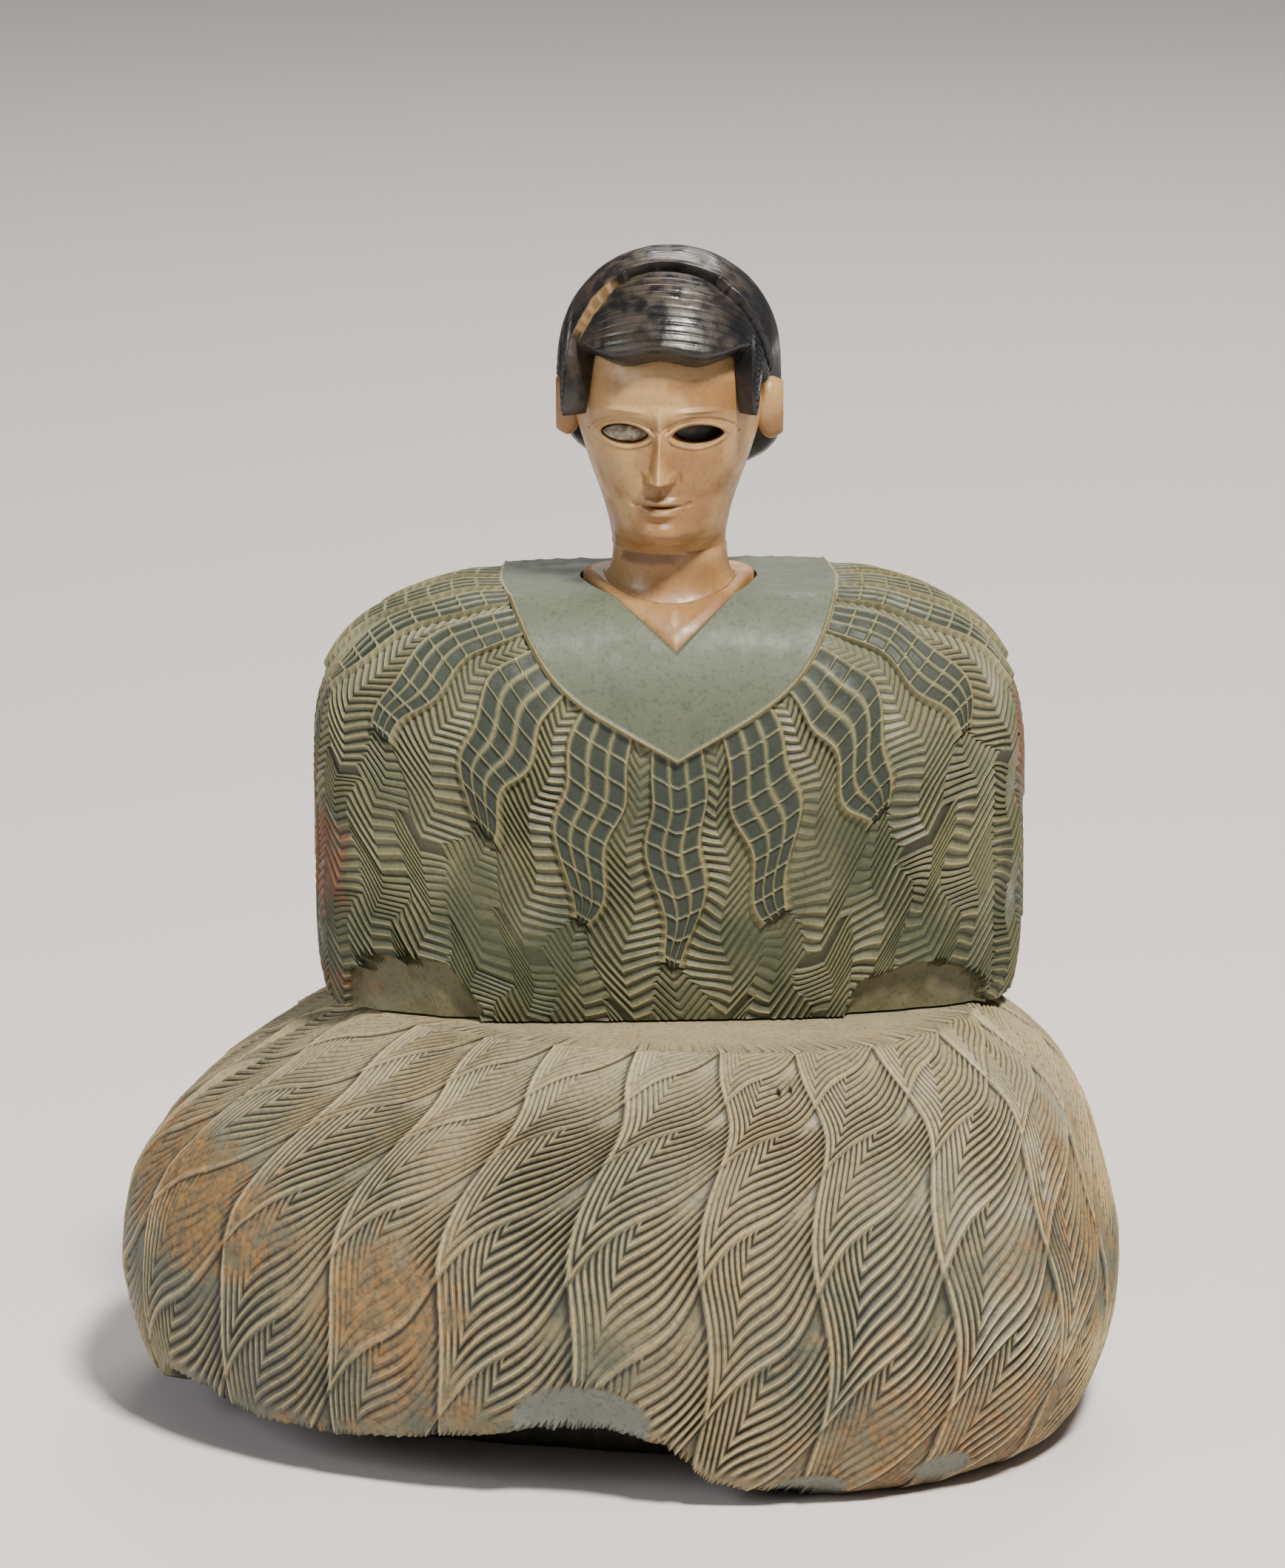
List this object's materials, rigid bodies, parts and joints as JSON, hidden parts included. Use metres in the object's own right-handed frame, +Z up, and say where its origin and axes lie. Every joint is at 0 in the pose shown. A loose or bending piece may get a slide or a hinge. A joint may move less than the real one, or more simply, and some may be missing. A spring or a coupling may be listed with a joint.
{
  "type": "seated stone figurine",
  "caption": "Small seated figurine of carved stone: a wide tufted skirt, a block-like cape with a plain V collar, a pale head and a dark wig.",
  "frame": {"origin": "middle of the foot's outline, on the ground plane", "axes": "+Z up, the figure faces -Y, +X to a viewer's right"},
  "size_m": [0.1122, 0.083, 0.1306],
  "materials": {
    "skirt_stone": "worn",
    "cape_stone": "honed",
    "head_stone": "polished, aged",
    "wig_stone": "semi-gloss",
    "inlay": "worn"
  },
  "bodies": {
    "root": {"lower_body": "skirt_stone", "upper_body": "cape_stone", "head": "head_stone", "wig_front": "wig_stone", "wig_back": "wig_stone", "eye_inlay": "inlay"}
  },
  "joints": []
}
